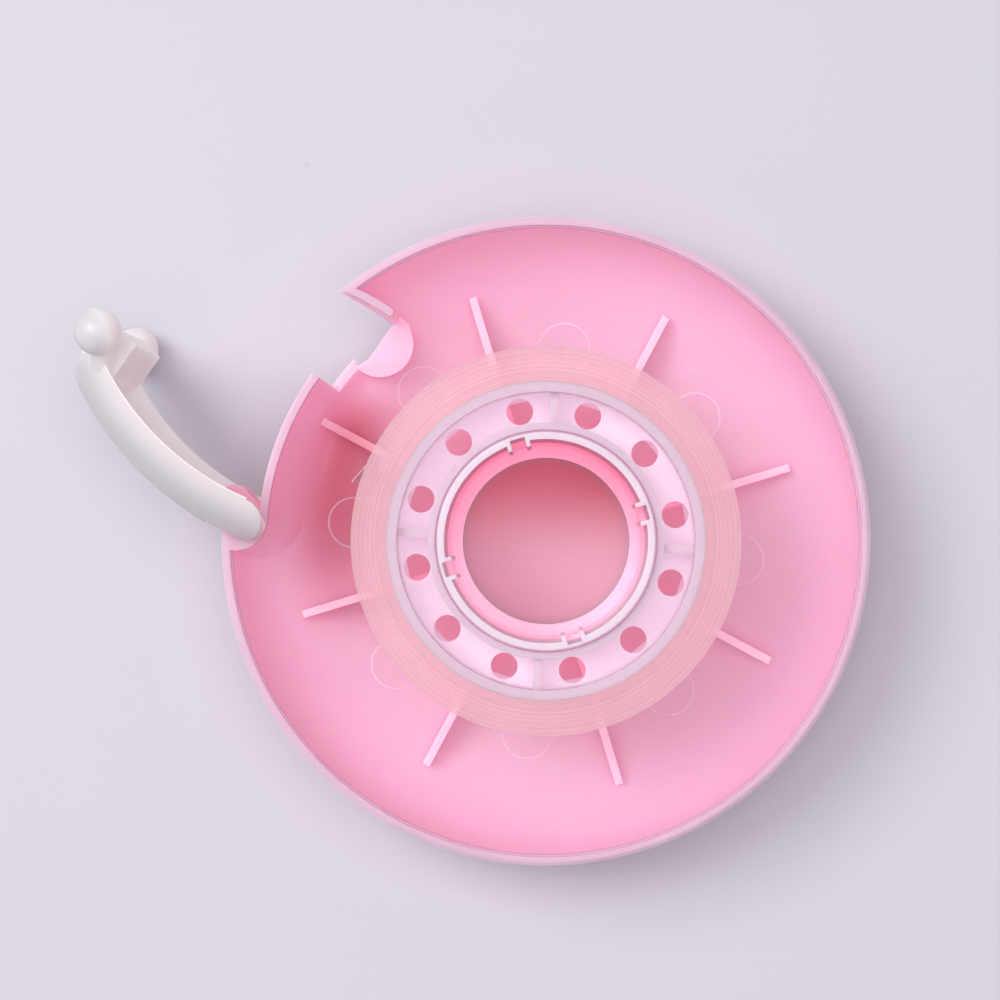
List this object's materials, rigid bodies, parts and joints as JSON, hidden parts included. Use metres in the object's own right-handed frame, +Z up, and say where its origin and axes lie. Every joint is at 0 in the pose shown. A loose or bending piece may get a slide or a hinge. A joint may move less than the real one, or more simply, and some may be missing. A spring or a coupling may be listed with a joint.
{
  "type": "tape dispenser",
  "caption": "Round hand-held tape dispenser lying open: dished case half with hub and notch, tape reel, and a swing arm with a cutting edge.",
  "frame": {"origin": "point on the hub axis in the plane that the flat base of the case half rests on", "axes": "+Z up along the hub axis, out of the open side; +X from the hub away from the swing arm's hinge; +Y towards the tape mouth side"},
  "size_m": [0.0935, 0.077, 0.0317],
  "materials": {
    "pink_plastic": "satin moulded, slightly translucent",
    "core_plastic": "natural translucent moulding",
    "tape_film": "clear wound film",
    "white_plastic": "satin moulded"
  },
  "bodies": {
    "case": {"case_half": "pink_plastic"},
    "reel": {"tape_core": "core_plastic", "tape_winding": "tape_film", "tape_tail": "tape_film"},
    "arm": {"swing_arm": "white_plastic"}
  },
  "joints": [
    {"name": "reel_spin", "type": "hinge", "parent": "case", "child": "reel", "pos_m": [0, 0, 0.016], "axis": [0, 0, 1], "continuous": true},
    {"name": "arm_swing", "type": "hinge", "parent": "case", "child": "arm", "pos_m": [-0.0351, 0.0025, 0.016], "axis": [0, 0, 1], "range_deg": [-70.7, 5]}
  ]
}
